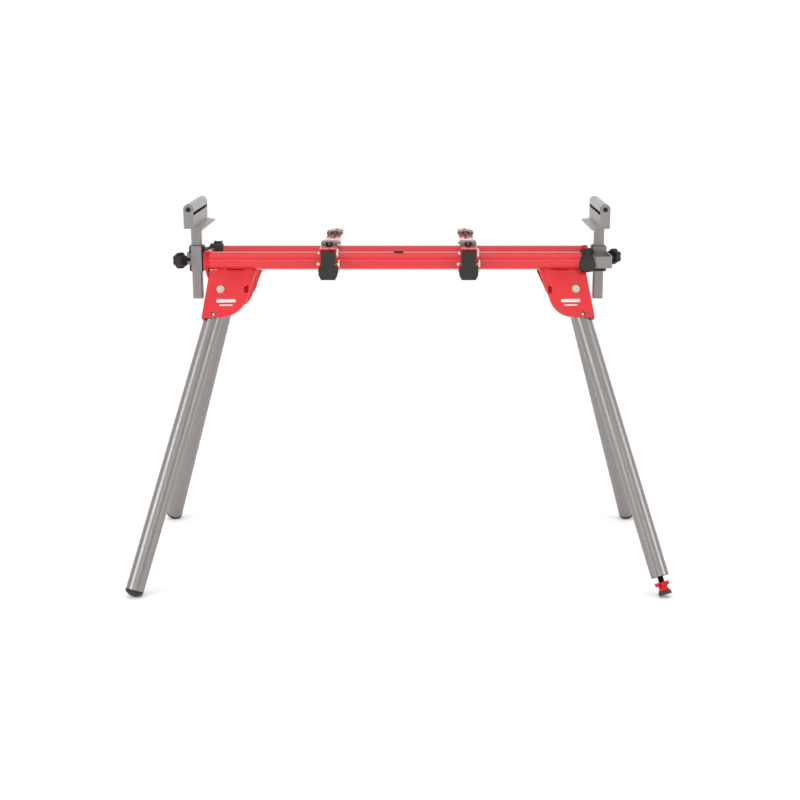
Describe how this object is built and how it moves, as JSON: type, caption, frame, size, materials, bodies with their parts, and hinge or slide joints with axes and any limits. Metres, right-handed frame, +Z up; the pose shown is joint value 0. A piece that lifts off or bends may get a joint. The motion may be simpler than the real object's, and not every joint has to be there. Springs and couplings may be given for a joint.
{
  "type": "mitre saw stand",
  "caption": "Folding mitre saw stand: twin-tube beam on splayed folding legs, sliding slotted tool rails with cam levers, and extending arms with height-adjustable work rollers.",
  "frame": {"origin": "on the floor under the middle of the beam", "axes": "+Z up, +X along the beam to the right, -Y towards the user"},
  "size_m": [1.3828, 0.7122, 0.9654],
  "materials": {
    "red_paint": "gloss red powder coat",
    "silver_paint": "satin silver-grey powder coat",
    "roller_steel": "turned steel",
    "zinc_steel": "yellow-zinc plated",
    "black_steel": "black oxide",
    "pad_steel": "grey coated steel",
    "grey_plastic": "fine-textured moulding",
    "black_plastic": "moulded, slight sheen",
    "red_plastic": "glass-filled moulding, satin",
    "black_rubber": "matt moulded rubber"
  },
  "bodies": {
    "frame": {"beam_extrusion": "red_paint", "end_cap_left": "red_plastic", "end_cap_right": "red_plastic", "beam_plug": "grey_plastic", "leg_pivot_bolts": "zinc_steel", "arm_lever_pins": "zinc_steel", "arm_collar_left": "grey_plastic", "arm_collar_right": "grey_plastic", "leg_bracket_front_left": "red_paint", "leg_bracket_front_right": "red_paint", "leg_bracket_rear_left": "red_paint", "leg_bracket_rear_right": "red_paint"},
    "leg_front_left": {"leg_tube_front_left": "silver_paint", "foot_cap_front_left": "black_rubber"},
    "lock_button_front_left": {"lock_button_front_left": "zinc_steel"},
    "leg_front_right": {"leg_tube_front_right": "silver_paint", "leg_end_plug": "black_plastic"},
    "lock_button_front_right": {"lock_button_front_right": "zinc_steel"},
    "leg_rear_left": {"leg_tube_rear_left": "silver_paint", "foot_cap_rear_left": "black_rubber"},
    "lock_button_rear_left": {"lock_button_rear_left": "zinc_steel"},
    "leg_rear_right": {"leg_tube_rear_right": "silver_paint", "foot_cap_rear_right": "black_rubber"},
    "lock_button_rear_right": {"lock_button_rear_right": "zinc_steel"},
    "adjuster_foot": {"adjuster_stud": "black_steel", "adjuster_pad": "black_rubber"},
    "adjuster_knob": {"adjuster_knob": "red_plastic"},
    "arm_left": {"arm_tube_left": "silver_paint", "arm_end_bracket_left": "silver_paint", "post_collar_left": "black_plastic"},
    "arm_lever_left": {"arm_lock_lever_left": "grey_plastic"},
    "support_left": {"support_post_left": "silver_paint", "roller_head_left": "silver_paint", "roller_axle_left": "black_steel"},
    "roller_left": {"work_roller_left": "roller_steel"},
    "knob_left": {"clamp_knob_left": "black_plastic"},
    "arm_right": {"arm_tube_right": "silver_paint", "arm_end_bracket_right": "silver_paint", "post_collar_right": "black_plastic"},
    "arm_lever_right": {"arm_lock_lever_right": "grey_plastic"},
    "support_right": {"support_post_right": "silver_paint", "roller_head_right": "silver_paint", "roller_axle_right": "black_steel"},
    "roller_right": {"work_roller_right": "roller_steel"},
    "knob_right": {"clamp_knob_right": "black_plastic"},
    "rail_left": {"tool_rail_left": "red_paint", "rail_side_plates_left": "red_paint", "rail_rear_hook_left": "red_paint", "rail_bolts_left": "zinc_steel"},
    "cam_lever_left": {"rail_cam_lever_left": "grey_plastic"},
    "pad_left_front": {"saw_pad_left_front": "pad_steel"},
    "pad_left_rear": {"saw_pad_left_rear": "pad_steel"},
    "rail_right": {"tool_rail_right": "red_paint", "rail_side_plates_right": "red_paint", "rail_rear_hook_right": "red_paint", "rail_bolts_right": "zinc_steel"},
    "cam_lever_right": {"rail_cam_lever_right": "grey_plastic"},
    "pad_right_front": {"saw_pad_right_front": "pad_steel"},
    "pad_right_rear": {"saw_pad_right_rear": "pad_steel"}
  },
  "joints": [
    {"name": "leg_fold_front_left", "type": "hinge", "parent": "frame", "child": "leg_front_left", "pos_m": [-0.4587, -0.068, 0.7365], "axis": [0.0494, -0.9418, 0.3325], "range_deg": [0, 105.99]},
    {"name": "lock_button_press_front_left", "type": "slide", "parent": "leg_front_left", "child": "lock_button_front_left", "axis": [-0.0494, 0.9418, -0.3325], "range_m": [0, 0.005], "stiffness_N_per_m": 600, "springref_m": -0.006},
    {"name": "leg_fold_front_right", "type": "hinge", "parent": "frame", "child": "leg_front_right", "pos_m": [0.4533, -0.068, 0.7365], "axis": [-0.0489, 0.9325, -0.3579], "range_deg": [0, 104.75]},
    {"name": "lock_button_press_front_right", "type": "slide", "parent": "leg_front_right", "child": "lock_button_front_right", "axis": [-0.0489, 0.9325, -0.3579], "range_m": [0, 0.005], "stiffness_N_per_m": 600, "springref_m": -0.006},
    {"name": "leg_fold_rear_left", "type": "hinge", "parent": "frame", "child": "leg_rear_left", "pos_m": [-0.4533, 0.068, 0.7365], "axis": [0.0489, -0.9325, -0.3579], "range_deg": [0, 104.75]},
    {"name": "lock_button_press_rear_left", "type": "slide", "parent": "leg_rear_left", "child": "lock_button_rear_left", "axis": [0.0489, -0.9325, -0.3579], "range_m": [0, 0.005], "stiffness_N_per_m": 600, "springref_m": -0.006},
    {"name": "leg_fold_rear_right", "type": "hinge", "parent": "frame", "child": "leg_rear_right", "pos_m": [0.4587, 0.068, 0.7365], "axis": [-0.0494, 0.9418, 0.3325], "range_deg": [0, 105.99]},
    {"name": "lock_button_press_rear_right", "type": "slide", "parent": "leg_rear_right", "child": "lock_button_rear_right", "axis": [0.0494, -0.9418, -0.3325], "range_m": [0, 0.005], "stiffness_N_per_m": 600, "springref_m": -0.006},
    {"name": "foot_adjust", "type": "slide", "parent": "leg_front_right", "child": "adjuster_foot", "axis": [0.2723, -0.3323, -0.903], "range_m": [-0.01, 0.012]},
    {"name": "foot_knob_turn", "type": "hinge", "parent": "adjuster_foot", "child": "adjuster_knob", "pos_m": [0.67115, -0.33382, 0.01409], "axis": [0.2723, -0.3323, -0.903], "continuous": true},
    {"name": "arm_extend_left", "type": "slide", "parent": "frame", "child": "arm_left", "axis": [-1, 0, 0], "range_m": [-0.006, 0.45]},
    {"name": "arm_lock_left", "type": "hinge", "parent": "frame", "child": "arm_lever_left", "pos_m": [-0.4825, 0.077, 0.844], "axis": [1, 0, 0], "range_deg": [0, 75]},
    {"name": "post_lift_left", "type": "slide", "parent": "arm_left", "child": "support_left", "axis": [0, 0, 1], "range_m": [-0.045, 0.06]},
    {"name": "roller_spin_left", "type": "hinge", "parent": "support_left", "child": "roller_left", "pos_m": [-0.5285, 0, 0.952], "axis": [0, 1, 0], "continuous": true},
    {"name": "knob_turn_left", "type": "hinge", "parent": "arm_left", "child": "knob_left", "pos_m": [-0.5285, 0, 0.8125], "axis": [-0.7071, -0.7071, 0], "continuous": true},
    {"name": "arm_extend_right", "type": "slide", "parent": "frame", "child": "arm_right", "axis": [1, 0, 0], "range_m": [0, 0.45]},
    {"name": "arm_lock_right", "type": "hinge", "parent": "frame", "child": "arm_lever_right", "pos_m": [0.4825, -0.077, 0.844], "axis": [-1, 0, 0], "range_deg": [0, 75]},
    {"name": "post_lift_right", "type": "slide", "parent": "arm_right", "child": "support_right", "axis": [0, 0, 1], "range_m": [-0.045, 0.06]},
    {"name": "roller_spin_right", "type": "hinge", "parent": "support_right", "child": "roller_right", "pos_m": [0.5217, 0, 0.952], "axis": [0, 1, 0], "continuous": true},
    {"name": "knob_turn_right", "type": "hinge", "parent": "arm_right", "child": "knob_right", "pos_m": [0.5217, 0, 0.8125], "axis": [0.7071, 0.7071, 0], "continuous": true},
    {"name": "rail_slide_left", "type": "slide", "parent": "frame", "child": "rail_left", "axis": [1, 0, 0], "range_m": [-0.145, 0.13]},
    {"name": "cam_release_left", "type": "hinge", "parent": "rail_left", "child": "cam_lever_left", "pos_m": [-0.179, -0.103, 0.797], "axis": [1, 0, 0], "range_deg": [0, 95]},
    {"name": "pad_slide_left_front", "type": "slide", "parent": "rail_left", "child": "pad_left_front", "axis": [0, 1, 0], "range_m": [-0.03, 0.025]},
    {"name": "pad_slide_left_rear", "type": "slide", "parent": "rail_left", "child": "pad_left_rear", "axis": [0, 1, 0], "range_m": [-0.03, 0.045]},
    {"name": "rail_slide_right", "type": "slide", "parent": "frame", "child": "rail_right", "axis": [1, 0, 0], "range_m": [-0.13, 0.145]},
    {"name": "cam_release_right", "type": "hinge", "parent": "rail_right", "child": "cam_lever_right", "pos_m": [0.179, -0.103, 0.797], "axis": [1, 0, 0], "range_deg": [0, 95]},
    {"name": "pad_slide_right_front", "type": "slide", "parent": "rail_right", "child": "pad_right_front", "axis": [0, 1, 0], "range_m": [-0.03, 0.025]},
    {"name": "pad_slide_right_rear", "type": "slide", "parent": "rail_right", "child": "pad_right_rear", "axis": [0, 1, 0], "range_m": [-0.03, 0.045]}
  ]
}
